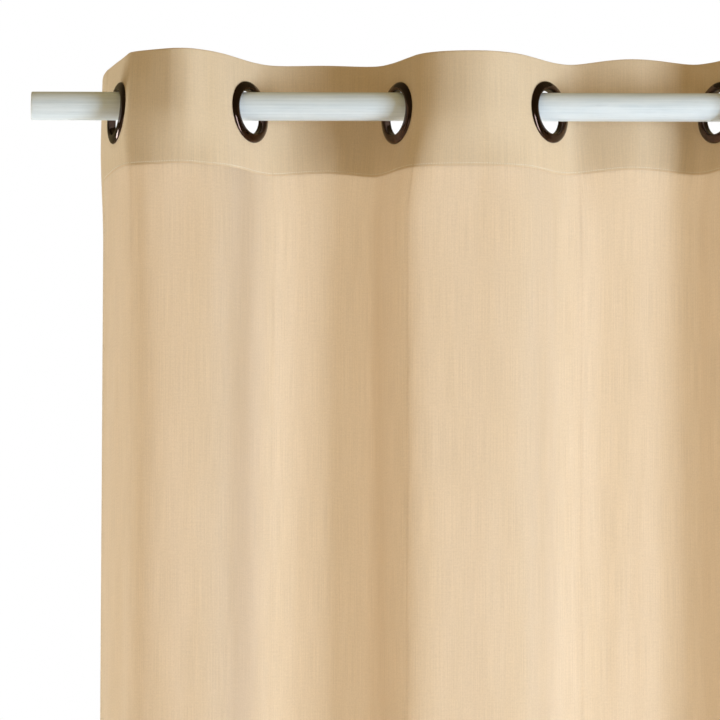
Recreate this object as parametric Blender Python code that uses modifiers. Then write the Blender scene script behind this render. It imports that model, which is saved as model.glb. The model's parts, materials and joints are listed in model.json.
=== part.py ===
"""Eyelet curtain panel hanging on a wooden pole in two wall brackets.

Metres, +Z up. The wall is the plane y = 0 and the room is on its -Y side. The origin is the middle of
the left wall plate's back face. The cloth is modelled as eight stiff pleats, one for each eyelet, which
fold against each other at upright hinge lines along the crests of the waves.
"""

import math

import bmesh
import bpy
from mathutils import Matrix, Vector

MM = 0.001

# The pole and where it lies
POLE_RADIUS = 14 * MM
POLE_LENGTH = 1200 * MM
POLE_OUT = 125 * MM  # from the wall to the pole's axis
POLE_LEFT_END = -108.5 * MM
POLE_EDGE = 1.2 * MM
RIGHT_BRACKET_X = 1068 * MM

# The cloth: each pleat's eyelet, and the crest between it and the next
FIRST_EYELET_X = -24 * MM
PITCHES = [127 * MM, 145 * MM, 146 * MM, 165.5 * MM, 143.5 * MM, 140 * MM, 135 * MM]
CRESTS = [62 * MM, -46 * MM, 55 * MM, -26 * MM, 52 * MM, -45 * MM, 58 * MM]  # + is into the room
SLOPES = [74, 57, 62, 54, 54, 57, 60, 70]  # the eyelets' angles to the pole, in degrees
LEANS = [4.5, 4.0, 1.5, 3.0, 3.0, 3.0, 3.0, 3.0]  # the headings' lean away from the room, in degrees
EYELET_DROPS = [6.0 * MM, 5.0 * MM, 5.2 * MM, 4.2 * MM, 4.2 * MM, 5.0 * MM, 5.2 * MM, 6.0 * MM]
EDGE_FLAP = 70 * MM  # from an end eyelet to the panel's side hem
CLOTH_DROP = 2500 * MM
HEADING_DEPTH = 110 * MM
TOP_EDGE_Z = 46.5 * MM
LEAN_ENDS_Z = -300 * MM  # below this the cloth hangs straight
CLOTH_THICK = 1.2 * MM
FACING_THICK = 1.0 * MM
FACING_BACK = 1.4 * MM  # from the cloth's middle to the facing's middle
CREST_GAP = 1.0 * MM
FACING_CREST_GAP = 3.0 * MM
CURVE_STEPS = 6

# The eyelets: radius and height over the cloth's middle, down the outer side and up through the throat
EYELET_FLAT = 31 * MM  # the cloth is flat this far from an eyelet's centre
EYELET_ON_POLE = 0.6 * MM  # the pole's axis meets the throat this far behind the cloth's middle
CLOTH_HOLE = 24.6 * MM
EYELET_FRONT = [
    (28.3, 3.4), (30.1, 2.8), (30.7, 1.8), (30.7, 0.9), (23.1, 0.9), (23.1, -3.3), (25.8, -3.3),
    (26.0, -3.8), (25.0, -4.2), (22.2, -4.2), (21.5, -3.6), (21.5, 0.1), (22.4, 1.5), (24.4, 2.6), (26.4, 3.3),
]
EYELET_BACK = [(30.0, -2.2), (30.2, -2.6), (29.4, -2.9), (23.5, -3.0), (23.5, -2.2)]
EYELET_SEGMENTS = 24

# The brackets
PLATE_RADIUS = 27 * MM
PLATE_THICK = 5 * MM
SCREW_SPACING = 34 * MM
SCREW_HOLE = 2.4 * MM
ARM_RADIUS = 6 * MM
CUP_WIDTH = 14 * MM
CUP_WALL = 4 * MM
CUP_GAP = 0.4 * MM
CUP_FRONT_RISE = 4 * MM
CUP_BACK_RISE = 12 * MM
CLAMP_RADIUS = 3 * MM
CLAMP_HEAD_RADIUS = 7 * MM
FIT_GAP = 0.3 * MM
ROUND_SEGMENTS = 32


def clear_scene():
    for obj in list(bpy.data.objects):
        bpy.data.objects.remove(obj)


def collection(name):
    made = bpy.data.collections.new(name)
    bpy.context.scene.collection.children.link(made)
    return made


def material(name, colour, roughness, metallic=0.0):
    made = bpy.data.materials.new(name)
    made.use_nodes = True
    shader = made.node_tree.nodes["Principled BSDF"]
    shader.inputs["Base Color"].default_value = (*colour, 1)
    shader.inputs["Roughness"].default_value = roughness
    shader.inputs["Metallic"].default_value = metallic
    return made


def new_object(name, data, finish, group):
    obj = bpy.data.objects.new(name, data)
    if finish:
        data.materials.append(finish)
    group.objects.link(obj)
    return obj


def from_bmesh(name, shape, finish, group):
    mesh = bpy.data.meshes.new(name)
    shape.to_mesh(mesh)
    shape.free()
    return new_object(name, mesh, finish, group)


def hide_cutter(obj):
    obj.hide_render = True
    obj.display_type = "WIRE"
    return obj


def cut(obj, cutter):
    boolean = obj.modifiers.new("Cut", "BOOLEAN")
    boolean.operation = "DIFFERENCE"
    boolean.solver = "EXACT"
    boolean.object = cutter


def join(obj, other):
    boolean = obj.modifiers.new("Join", "BOOLEAN")
    boolean.operation = "UNION"
    boolean.solver = "EXACT"
    boolean.object = other


def cylinder(name, radius, start, end, finish, group, segments=ROUND_SEGMENTS, end_radius=None):
    """A cylinder or a cone from one point to another."""
    axis = Vector(end) - Vector(start)
    shape = bmesh.new()
    bmesh.ops.create_cone(
        shape, cap_ends=True, segments=segments, radius1=radius,
        radius2=radius if end_radius is None else end_radius, depth=axis.length,
    )
    obj = from_bmesh(name, shape, finish, group)
    obj.rotation_euler = axis.to_track_quat("Z", "Y").to_euler()
    obj.location = (Vector(start) + Vector(end)) / 2
    return obj


def turned(name, profile_mm, finish, group, segments):
    """A closed profile of (radius, height) turned about local Z."""
    shape = bmesh.new()
    corners = [shape.verts.new((radius * MM, 0, height * MM)) for radius, height in profile_mm]
    for here, there in zip(corners, corners[1:] + corners[:1]):
        shape.edges.new((here, there))
    obj = from_bmesh(name, shape, finish, group)
    screw = obj.modifiers.new("Turn", "SCREW")
    screw.axis = "Z"
    screw.steps = screw.render_steps = segments
    screw.use_merge_vertices = True
    screw.merge_threshold = 0.00001
    screw.use_smooth_shade = True
    return obj


# ---- Where the pleats lie, seen from above


def plan(x, into_room):
    """A point seen from above, from its place along the pole and its distance in front of the axis."""
    return Vector((x, -POLE_OUT - into_room))


def eyelet_places():
    xs = [FIRST_EYELET_X]
    for pitch in PITCHES:
        xs.append(xs[-1] + pitch)
    return xs


def heading_of(index):
    """The way the cloth runs through an eyelet, left to right: odd pleats come forward, even go back."""
    slope = math.radians(SLOPES[index])
    forward = 1 if index % 2 == 0 else -1
    return Vector((math.cos(slope), -forward * math.sin(slope)))


def room_side(index):
    """The level unit vector square to the cloth at an eyelet, on the side that faces the room."""
    along = heading_of(index)
    return Vector((along.y, -along.x))


def eyelet_point(index):
    """The middle of the cloth at an eyelet, set so that the pole's axis runs through the throat's middle."""
    return plan(eyelet_places()[index], 0) + room_side(index) * EYELET_ON_POLE


def crest_point(index):
    """The upright hinge line between two pleats. Midway, it keeps every eyelet on the pole as they fold."""
    return plan(eyelet_places()[index] + PITCHES[index] / 2, CRESTS[index])


def bezier(start, start_pull, end_pull, end, steps):
    points = []
    for step in range(steps + 1):
        t = step / steps
        s = 1 - t
        points.append(start * s**3 + start_pull * 3 * s * s * t + end_pull * 3 * s * t * t + end * t**3)
    return points


def half_pleat(index, to_crest, gap):
    """From the edge of an eyelet's flat to the crest on its right (True) or left, ending short of the crest."""
    side = 1 if to_crest else -1
    along = heading_of(index) * side
    start = eyelet_point(index) + along * EYELET_FLAT
    crest = crest_point(index if to_crest else index - 1)
    reach = abs(crest.x - start.x)
    points = bezier(start, start + along * reach * 0.3, crest - Vector((side * reach * 0.55, 0)), crest, CURVE_STEPS)
    last = points[-1] - points[-2]
    points[-1] -= last.normalized() * gap
    return points


def edge_flap(index, side):
    """From the edge of an end eyelet's flat back to the panel's side hem, curling in a little."""
    along = heading_of(index) * side
    start = eyelet_point(index) + along * EYELET_FLAT
    length = EDGE_FLAP - EYELET_FLAT
    straight_back = Vector((0, 1))
    end = start + (along * 0.55 + straight_back * 0.45).normalized() * length
    return bezier(start, start + along * length / 3, end - straight_back * length / 3, end, CURVE_STEPS // 2)


def pleat_line(index, gap):
    """A pleat's middle line from left to right, with each point's share of the heading's lean."""
    if index == 0:
        left = edge_flap(index, -1)
        left_ends_free = True
    else:
        left = half_pleat(index, False, gap)
        left_ends_free = False
    if index == len(SLOPES) - 1:
        right = edge_flap(index, 1)
        right_ends_free = True
    else:
        right = half_pleat(index, True, gap)
        right_ends_free = False
    line = [(p, 1.0 if left_ends_free else 1 - i / (len(left) - 1)) for i, p in enumerate(left)][::-1]
    line += [(p, 1.0 if right_ends_free else 1 - i / (len(right) - 1)) for i, p in enumerate(right)]
    return line


# ---- The cloth


def lean_offset(index, z):
    """How far the cloth at this height leans from upright, along the room side of its eyelet."""
    centre = -EYELET_DROPS[index]
    slope = math.tan(math.radians(LEANS[index]))
    heading_foot = TOP_EDGE_Z - HEADING_DEPTH
    if z >= heading_foot:
        return (centre - z) * slope
    fade = max(0.0, (z - LEAN_ENDS_Z) / (heading_foot - LEAN_ENDS_Z))
    return (centre - heading_foot) * slope * fade


def sheet(name, index, gap, heights, thick, back, finish, group):
    """One pleat of cloth: its line drawn upwards through the heights, then given a thickness."""
    shape = bmesh.new()
    line = pleat_line(index, gap)
    side = room_side(index)
    row = [shape.verts.new((p.x, p.y, heights[0])) for p, _ in line]
    edges = [shape.edges.new(pair) for pair in zip(row, row[1:])]
    for low, high in zip(heights, heights[1:]):
        drawn = bmesh.ops.extrude_edge_only(shape, edges=edges)["geom"]
        verts = [g for g in drawn if isinstance(g, bmesh.types.BMVert)]
        bmesh.ops.translate(shape, verts=verts, vec=(0, 0, high - low))
        edges = [g for g in drawn if isinstance(g, bmesh.types.BMEdge)]
    shape.verts.ensure_lookup_table()
    shares = {(round(p.x, 6), round(p.y, 6)): share for p, share in line}
    for vert in shape.verts:
        share = shares[round(vert.co.x, 6), round(vert.co.y, 6)]
        shift = side * lean_offset(index, vert.co.z) * share
        vert.co += Vector((shift.x, shift.y, 0))
    bmesh.ops.recalc_face_normals(shape, faces=shape.faces)
    shape.faces.ensure_lookup_table()
    if shape.faces[0].normal.y > 0:
        bmesh.ops.reverse_faces(shape, faces=shape.faces)
    obj = from_bmesh(name, shape, finish, group)
    if back:
        displace = obj.modifiers.new("Behind", "DISPLACE")
        displace.strength = -back
        displace.mid_level = 0
    solidify = obj.modifiers.new("Thickness", "SOLIDIFY")
    solidify.thickness = thick
    solidify.offset = 0
    solidify.use_even_offset = True
    return obj


def eyelet_matrix(index):
    """Puts local Z along the eyelet's axis, into the room, leaning with the heading."""
    side = room_side(index)
    lean = math.radians(LEANS[index])
    axis = Vector((side.x * math.cos(lean), side.y * math.cos(lean), math.sin(lean)))
    middle = eyelet_point(index)
    place = Matrix.Translation((middle.x, middle.y, -EYELET_DROPS[index]))
    return place @ axis.to_track_quat("Z", "Y").to_matrix().to_4x4()


def build_pleat(index, cotton, interlining, bronze, parts, cutters):
    number = index + 1
    bottom = TOP_EDGE_Z - CLOTH_DROP
    heading_foot = TOP_EDGE_Z - HEADING_DEPTH
    heading = sheet(
        f"heading_cloth_{number}", index, CREST_GAP, [heading_foot, TOP_EDGE_Z], CLOTH_THICK, 0, cotton, parts
    )
    sheet(
        f"curtain_panel_{number}", index, CREST_GAP, [bottom, LEAN_ENDS_Z, heading_foot - FIT_GAP],
        CLOTH_THICK, 0, cotton, parts,
    )
    facing = sheet(
        f"heading_facing_{number}", index, FACING_CREST_GAP, [heading_foot, TOP_EDGE_Z - FIT_GAP],
        FACING_THICK, FACING_BACK, interlining, parts,
    )
    matrix = eyelet_matrix(index)
    punch = hide_cutter(
        cylinder(f"punch_{number}", CLOTH_HOLE, (0, 0, -10 * MM), (0, 0, 10 * MM), None, cutters)
    )
    punch.matrix_world = matrix
    cut(heading, punch)
    cut(facing, punch)
    for name, profile in (("front", EYELET_FRONT), ("back", EYELET_BACK)):
        half = turned(f"eyelet_{name}_{number}", profile, bronze, parts, EYELET_SEGMENTS)
        half.matrix_world = matrix


# ---- The pole and its brackets


def build_pole(finish, group):
    start = (POLE_LEFT_END, -POLE_OUT, 0)
    end = (POLE_LEFT_END + POLE_LENGTH, -POLE_OUT, 0)
    pole = cylinder("pole", POLE_RADIUS, start, end, finish, group, segments=40)
    bevel = pole.modifiers.new("Edge", "BEVEL")
    bevel.width = POLE_EDGE
    bevel.segments = 1
    bevel.angle_limit = math.radians(60)
    return pole


def cup_outline(inner, outer):
    """The cup seen from its end: (y, z) from the front tip, round under the pole, and up to the back tip."""
    steps = 12
    arc = [math.pi + math.pi * i / steps for i in range(steps + 1)]
    outside = [(outer * math.cos(a), outer * math.sin(a)) for a in arc]
    inside = [(inner * math.cos(a), inner * math.sin(a)) for a in reversed(arc)]
    return (
        [(-outer, CUP_FRONT_RISE)] + outside + [(outer, CUP_BACK_RISE), (inner, CUP_BACK_RISE)]
        + inside + [(-inner, CUP_FRONT_RISE)]
    )


def build_cup(name, x, finish, group):
    """A cradle that is open at the top: its outline as a filled curve, extruded along the pole."""
    inner = POLE_RADIUS + CUP_GAP
    curve = bpy.data.curves.new(name, "CURVE")
    curve.dimensions = "2D"
    curve.fill_mode = "BOTH"
    curve.extrude = CUP_WIDTH / 2
    outline = cup_outline(inner, inner + CUP_WALL)
    spline = curve.splines.new("POLY")
    spline.points.add(len(outline) - 1)
    for point, (y, z) in zip(spline.points, outline):
        point.co = (y, z, 0, 1)
    spline.use_cyclic_u = True
    drawn = new_object(name + "_outline", curve, None, group)
    mesh = bpy.data.meshes.new_from_object(drawn.evaluated_get(bpy.context.evaluated_depsgraph_get()))
    bpy.data.objects.remove(drawn)
    shape = bmesh.new()
    shape.from_mesh(mesh)
    bmesh.ops.remove_doubles(shape, verts=shape.verts, dist=0.00001)
    upright = Matrix(((0, 0, 1, x), (1, 0, 0, -POLE_OUT), (0, 1, 0, 0), (0, 0, 0, 1)))
    bmesh.ops.transform(shape, matrix=upright, verts=shape.verts)
    bmesh.ops.recalc_face_normals(shape, faces=shape.faces)
    return from_bmesh(name, shape, finish, group)


def build_bracket(side, x, white, zinc, parts, cutters):
    """A wall plate, an arm ending in a cup, a clamp screw under the pole, and two wall screws."""
    plate = cylinder(f"{side}_wall_plate", PLATE_RADIUS, (x, 0, 0), (x, -PLATE_THICK, 0), white, parts)
    bevel = plate.modifiers.new("Edge", "BEVEL")
    bevel.width = 1 * MM
    bevel.segments = 1
    bevel.angle_limit = math.radians(60)

    cup_back = -POLE_OUT + POLE_RADIUS + CUP_GAP + CUP_WALL
    arm = cylinder(
        f"{side}_arm_and_cup", ARM_RADIUS, (x, -PLATE_THICK - FIT_GAP, 0), (x, cup_back - CUP_WALL / 2, 0),
        white, parts, segments=24,
    )
    join(arm, hide_cutter(build_cup(f"{side}_cup", x, None, cutters)))
    clamp_hole = cylinder(
        f"{side}_clamp_hole", CLAMP_RADIUS + FIT_GAP, (x, -POLE_OUT, -POLE_RADIUS - 10 * MM),
        (x, -POLE_OUT, -POLE_RADIUS + 5 * MM), None, cutters, segments=16,
    )
    cut(arm, hide_cutter(clamp_hole))

    shank_top = -POLE_RADIUS - FIT_GAP
    head_top = -POLE_RADIUS - CUP_GAP - CUP_WALL - 4 * MM
    clamp = cylinder(
        f"{side}_clamp_screw", CLAMP_RADIUS, (x, -POLE_OUT, shank_top), (x, -POLE_OUT, head_top - 1 * MM),
        zinc, parts, segments=16,
    )
    thumb_head = cylinder(
        f"{side}_clamp_head", CLAMP_HEAD_RADIUS, (x, -POLE_OUT, head_top), (x, -POLE_OUT, head_top - 5 * MM),
        None, cutters, segments=16,
    )
    join(clamp, hide_cutter(thumb_head))

    for place, height in (("upper", SCREW_SPACING / 2), ("lower", -SCREW_SPACING / 2)):
        hole = cylinder(
            f"{side}_{place}_hole", SCREW_HOLE, (x, 5 * MM, height), (x, -PLATE_THICK - 5 * MM, height),
            None, cutters, segments=16,
        )
        sink = cylinder(
            f"{side}_{place}_sink", SCREW_HOLE, (x, -PLATE_THICK + 2.6 * MM, height),
            (x, -PLATE_THICK - 0.4 * MM, height), None, cutters, segments=16, end_radius=5.4 * MM,
        )
        cut(plate, hide_cutter(hole))
        cut(plate, hide_cutter(sink))
        screw = cylinder(
            f"{side}_{place}_wall_screw", SCREW_HOLE - FIT_GAP, (x, -0.2 * MM, height),
            (x, -PLATE_THICK + 1.6 * MM, height), zinc, parts, segments=16,
        )
        head = cylinder(
            f"{side}_{place}_screw_head", SCREW_HOLE - FIT_GAP, (x, -PLATE_THICK + 2.3 * MM, height),
            (x, -PLATE_THICK - 0.3 * MM, height), None, cutters, segments=16, end_radius=4.4 * MM,
        )
        join(screw, hide_cutter(head))


def main():
    clear_scene()
    parts = collection("eyelet_curtain")
    cutters = collection("cutters")
    cotton = material("sand_cotton", (0.80, 0.62, 0.40), 0.85)
    interlining = material("heading_interlining", (0.86, 0.80, 0.68), 0.9)
    bronze = material("dark_bronze", (0.10, 0.06, 0.035), 0.22, 1.0)
    wood = material("white_washed_wood", (0.82, 0.84, 0.84), 0.55)
    white = material("white_painted_metal", (0.85, 0.86, 0.85), 0.4)
    zinc = material("zinc_plated_steel", (0.62, 0.63, 0.64), 0.35, 1.0)
    for index in range(len(SLOPES)):
        build_pleat(index, cotton, interlining, bronze, parts, cutters)
    build_pole(wood, parts)
    build_bracket("left", 0, white, zinc, parts, cutters)
    build_bracket("right", RIGHT_BRACKET_X, white, zinc, parts, cutters)


main()
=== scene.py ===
# %% [markdown]
# # An eyelet curtain on a white-washed pole
#
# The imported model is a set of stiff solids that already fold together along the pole. Here each of them
# gets the look of the real piece: woven cotton with a stitched heading, polished dark eyelets, a limed
# wooden pole and painted brackets. Everything is in metres. The pole runs along X, the room is on the -Y
# side of it, and Z points up.

# %% Load the fixed frame
import json
import math

import bmesh
import bpy
import numpy as np
from mathutils import Matrix, Vector, noise


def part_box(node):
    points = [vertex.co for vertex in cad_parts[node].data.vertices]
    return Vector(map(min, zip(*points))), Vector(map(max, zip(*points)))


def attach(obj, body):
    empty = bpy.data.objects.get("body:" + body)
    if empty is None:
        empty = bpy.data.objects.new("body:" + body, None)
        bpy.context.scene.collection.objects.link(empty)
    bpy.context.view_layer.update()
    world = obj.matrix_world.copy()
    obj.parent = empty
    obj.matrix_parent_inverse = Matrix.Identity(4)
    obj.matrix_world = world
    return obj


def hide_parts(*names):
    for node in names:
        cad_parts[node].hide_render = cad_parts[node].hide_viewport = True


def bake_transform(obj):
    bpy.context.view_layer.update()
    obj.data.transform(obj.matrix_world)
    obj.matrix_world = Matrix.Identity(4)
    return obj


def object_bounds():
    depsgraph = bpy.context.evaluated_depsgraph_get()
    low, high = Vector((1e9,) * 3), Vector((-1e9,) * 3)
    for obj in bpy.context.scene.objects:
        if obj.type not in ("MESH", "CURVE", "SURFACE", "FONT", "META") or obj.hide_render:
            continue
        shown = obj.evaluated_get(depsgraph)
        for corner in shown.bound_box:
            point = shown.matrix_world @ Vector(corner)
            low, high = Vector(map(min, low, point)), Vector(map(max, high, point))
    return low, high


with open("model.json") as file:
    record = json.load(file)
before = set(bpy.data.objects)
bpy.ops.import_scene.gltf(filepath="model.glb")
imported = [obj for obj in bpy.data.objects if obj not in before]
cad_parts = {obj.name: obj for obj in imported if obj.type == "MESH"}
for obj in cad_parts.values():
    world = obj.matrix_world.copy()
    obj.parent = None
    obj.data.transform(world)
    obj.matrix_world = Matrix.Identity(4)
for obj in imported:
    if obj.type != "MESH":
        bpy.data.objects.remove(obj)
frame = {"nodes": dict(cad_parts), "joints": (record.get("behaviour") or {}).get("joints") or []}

cad_bounds = [list(corner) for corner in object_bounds()]
scene = bpy.context.scene
print("frame", [[round(v, 3) for v in corner] for corner in cad_bounds])

# %% [markdown]
# ## Where the eyelets and the folds are
#
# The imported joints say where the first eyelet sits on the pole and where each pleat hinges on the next, at
# the crests of the waves. Every crest is midway between two eyelets, so the eyelets follow from them.
# Reading them from the joints, and not typing them again, keeps the cloth and the solids together.

# %% Eyelets and crests, from the joints
pivots = {joint["name"]: joint.get("pos_m") for joint in frame["joints"]}
POLE_Y = pivots["draw_curtain"][1]
PLEATS = 8
eyelet_x = [pivots["draw_curtain"][0]]
crests = []  # (x, how far into the room)
for number in range(1, PLEATS):
    x, y, _ = pivots[f"fold_at_crest_{number}"]
    crests.append((x, POLE_Y - y))
    eyelet_x.append(2 * x - eyelet_x[-1])
print("eyelets at", [round(x, 3) for x in eyelet_x])
print("crests at", [(round(x, 3), round(out, 3)) for x, out in crests])

# %% [markdown]
# ## The line of the cloth, seen from above
#
# A curtain with eyelets hangs in waves because each eyelet holds a small flat disc of cloth at a slant to
# the pole, forwards and backwards in turn. Between two eyelets the cloth swings round a crest. Below the
# heading nothing keeps it flat, so the waves get rounder. Each half wave could be a sine, but a Bezier curve
# lets the slant at the eyelet and the fullness at the crest be set on their own, so that is what is used.
# Points here are (along the pole, into the room).

# %% Slants, fullness and lengths
MM = 0.001
SLANTS = [74, 57, 62, 54, 54, 57, 60, 70]  # degrees to the pole, at each eyelet
LEANS = [4.5, 4.0, 1.5, 3.0, 3.0, 3.0, 3.0, 3.0]  # degrees, the top of the heading away from the room
DROPS = [7.0, 5.8, 6.4, 5.1, 5.1, 5.8, 6.2, 7.0]  # mm, from the pole's axis down to the eyelet's middle
EYELET_FLAT = 31 * MM
CLOTH_AHEAD = 0.6 * MM  # the cloth's middle is this far in front of the eyelet's throat
EDGE_FLAP = 70 * MM  # from an end eyelet's middle to the side edge
PANEL_SLANTS = [68, 62, 66, 60, 60, 62, 64, 66]  # degrees, where the panel crosses below each eyelet
PANEL_SHIFT = [0, 2, -13, 4, -10, 3, -3, -4]  # mm, how far along the pole that crossing has moved
PANEL_CRESTS = [49, -34, 46, -22, 43, -33, 46]  # mm into the room, below the heading
HALF_COLUMNS = 20  # from an eyelet to a crest
SIDE_HEM = 24 * MM
FLAP_STEPS = list(np.linspace(0, 44, 11)) + [45.7, 46] + list(np.linspace(50, 67.6, 5)) + [69, 69.65, 70]
FLAP_SHARES = np.array(FLAP_STEPS) * MM / EDGE_FLAP  # close together at the hem's fold and at the edge
HALF_SHARES = np.linspace(0, 1, HALF_COLUMNS + 1)
FLAP_COLUMNS = len(FLAP_STEPS) - 1


def plan(x, out):
    return np.array([x, out])


def slant_of(index, degrees):
    """The way the cloth runs past an eyelet, left to right: forwards at the odd ones, back at the even."""
    angle = math.radians(degrees)
    return plan(math.cos(angle), math.sin(angle) * (1 if index % 2 == 0 else -1))


def facing_room(along):
    return plan(-along[1], along[0])


def eyelet_middle(index):
    return plan(eyelet_x[index], 0) + facing_room(slant_of(index, SLANTS[index])) * CLOTH_AHEAD


def bezier(a, b, c, d, steps=60):
    t = np.linspace(0, 1, steps + 1)[:, None]
    return a * (1 - t) ** 3 + b * 3 * t * (1 - t) ** 2 + c * 3 * t * t * (1 - t) + d * t**3


def spaced(points, shares):
    """Points at these shares of a line's length, and how far each is along it."""
    gone = np.concatenate([[0], np.cumsum(np.linalg.norm(np.diff(points, axis=0), axis=1))])
    at = shares * gone[-1]
    return np.stack([np.interp(at, gone, points[:, axis]) for axis in range(2)], axis=1), at


# %% One half wave, at the heading and in the panel
CREST_PULLS = {0: (0.42, 0.30), 1: (0.30, 0.50), 2: (0.34, 0.48), 3: (0.28, 0.55)}
CREASE_PULLS = (0.20, 0.08)  # the stiff heading bends sharply once, just before the first crest
CREASE_EARLY = plan(9 * MM, 0.8 * MM)
PANEL_PULLS = {(2, -1): (1.06, 0.80), (2, 1): (1.04, 0.74), (4, -1): (1.06, 0.80), (4, 1): (1.02, 0.70)}
HEADING_CURL, PANEL_CURL = 0.15, 0.4  # how far the side edges turn back to the wall
PANEL_FLAP_SLANT = 6  # degrees more than the panel's own


def heading_half(index, side):
    """From an eyelet's middle to its crest on the right (side 1) or the left (-1)."""
    crest_number = index if side > 0 else index - 1
    along = slant_of(index, SLANTS[index]) * side
    middle = eyelet_middle(index)
    start = middle + along * EYELET_FLAT
    crest = plan(*crests[crest_number])
    reach = abs(crest[0] - start[0])
    out_pull, crest_pull = CREST_PULLS.get(crest_number, (0.30, 0.55))
    end = crest
    if index == 0:
        out_pull, crest_pull = CREASE_PULLS
        end = crest - CREASE_EARLY
    curve = bezier(start, start + along * reach * out_pull, end - plan(side * reach * crest_pull, 0), end)
    if index == 0:
        curve = np.concatenate([curve, [crest]])
    return np.concatenate([middle + along * np.linspace(0, EYELET_FLAT, 20)[:, None], curve[1:]])


def panel_middle(index):
    return plan(eyelet_x[index] + PANEL_SHIFT[index] * MM, 0)


def panel_half(index, side):
    crest_number = index if side > 0 else index - 1
    along = slant_of(index, PANEL_SLANTS[index]) * side
    middle = panel_middle(index)
    crest = plan(crests[crest_number][0], PANEL_CRESTS[crest_number] * MM)
    reach = abs(crest[0] - middle[0])
    out_pull, crest_pull = PANEL_PULLS.get((index, side), (0.95, 0.62))
    leaving = middle + along * abs(crest[1]) * out_pull
    return bezier(middle, leaving, crest - plan(side * reach * crest_pull, 0), crest)


def flap(index, side, slant, middle, curl):
    """From an end eyelet back to the panel's side edge, curling round towards the wall."""
    along = slant_of(index, slant) * side
    start = middle + along * EYELET_FLAT
    back = plan(0, -1)
    length = EDGE_FLAP - EYELET_FLAT
    end_way = along * (1 - curl) + back * curl
    end = start + end_way / np.linalg.norm(end_way) * length
    curve = bezier(start, start + along * length / 3, end - back * length / 3, end)
    return np.concatenate([middle + along * np.linspace(0, EYELET_FLAT, 20)[:, None], curve[1:]])


# %% Put the half waves end to end
def whole_line(half, end_flap):
    """Points along the whole cloth from left to right, and how far each is along it."""
    points, at = spaced(end_flap(0, -1), FLAP_SHARES)
    pieces, places = [points[::-1]], [at[-1] - at[::-1]]

    def add(more, further):
        pieces.append(more)
        places.append(places[-1][-1] + further)

    for index in range(PLEATS):
        if index > 0:
            points, at = spaced(half(index, -1), HALF_SHARES)
            add(points[::-1][1:], at[-1] - at[::-1][1:])
        if index < PLEATS - 1:
            points, at = spaced(half(index, 1), HALF_SHARES)
            add(points[1:], at[1:])
    points, at = spaced(end_flap(PLEATS - 1, 1), FLAP_SHARES)
    add(points[1:], at[1:])
    return np.concatenate(pieces), np.concatenate(places)


heading_line, along_cloth = whole_line(
    heading_half, lambda index, side: flap(index, side, SLANTS[index], eyelet_middle(index), HEADING_CURL)
)
panel_line, along_panel = whole_line(
    panel_half,
    lambda index, side: flap(
        index, side, PANEL_SLANTS[index] + PANEL_FLAP_SLANT, panel_middle(index), PANEL_CURL
    ),
)
COLUMNS = len(heading_line)
eyelet_column = [FLAP_COLUMNS + 2 * HALF_COLUMNS * index for index in range(PLEATS)]
CLOTH_WIDTH = float(along_cloth[-1])
print(f"cloth {CLOTH_WIDTH:.3f} m wide at the heading, {along_panel[-1]:.3f} m in the panel")
print("cloth between eyelets, mm", [round(1000 * float(along_cloth[b] - along_cloth[a]))
                                    for a, b in zip(eyelet_column, eyelet_column[1:])])

# %% [markdown]
# ## From a line to a whole sheet
#
# The sheet is a grid: its columns follow the line above and its rows go down the cloth, closer together
# where something happens (the folded top edge, the stitch line, the hems). The heading leans a little at
# each eyelet, since the eyelets hang tilted, and its top corners droop at the two side edges. The height of
# each row comes from the length of cloth used up, so the sheet is hardly stretched. Cloth simulation could
# hang it too, but these folds run nearly straight down, and a grid keeps each eyelet on the pole.

# %% Rows down the cloth
LENGTH = 2498 * MM
HEADING = 112 * MM  # from the top edge to the facing's lower fold
HEADING_STITCH = HEADING - 2.7 * MM
BOTTOM_HEM = 50 * MM
BOTTOM_STITCH = LENGTH - 47.5 * MM
FOLD_STEP = 0.3 * MM


def row_heights():
    rows = [0.0, 0.35, 1.0, 2.4] + list(np.arange(6, 106, 3.9))
    rows += [1000 * HEADING + step for step in (-4.8, -3.5, -2.7, -1.9, -0.8, 0, 0.3, 1.6)]
    step, end = 3.2, 1000 * (LENGTH - BOTTOM_HEM)
    while rows[-1] + 1.5 * step < end - 4:
        rows.append(rows[-1] + step)
        step = min(step * 1.09, 19)
    rows += [end - 1.5, end - 0.3, end, end + 1.6, end + 2.5, end + 3.4]
    rows += list(np.linspace(end + 9, end + 47.4, 5))
    rows += [end + 49.0, end + 49.65, end + 50.0]
    return np.array(rows) * MM


rows = row_heights()
ROWS = len(rows)
print(ROWS, "rows,", COLUMNS * ROWS, "points on each face of the cloth")


# %% Helpers that fade and that wander
def fade(value, start, end):
    t = np.clip((value - start) / (end - start), 0, 1)
    return t * t * (3 - 2 * t)


def wander(wide, long, seed):
    """Smooth noise over the cloth, about -1 to 1, with patches this wide and long in metres."""
    return np.array([
        [noise.noise(Vector((u / wide, v / long, seed))) for v in rows] for u in along_cloth
    ])


# %% The height of the top edge and the lean of the heading
TOP_AT_EYELETS = [47.8, 46.0, 45.6, 46.2, 47.0, 46.6, 46.4, 46.0]  # mm over the pole's axis
TOP_AT_CRESTS = [44.2, 51.0, 44.0, 53.8, 45.8, 49.4, 46.0]
CORNER_DROOP = 7 * MM
DROOP_POWER = 3.2  # high, so that only the very corner droops
EDGE_LEAN = 0.2  # share of the eyelet's lean left at a side edge


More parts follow.
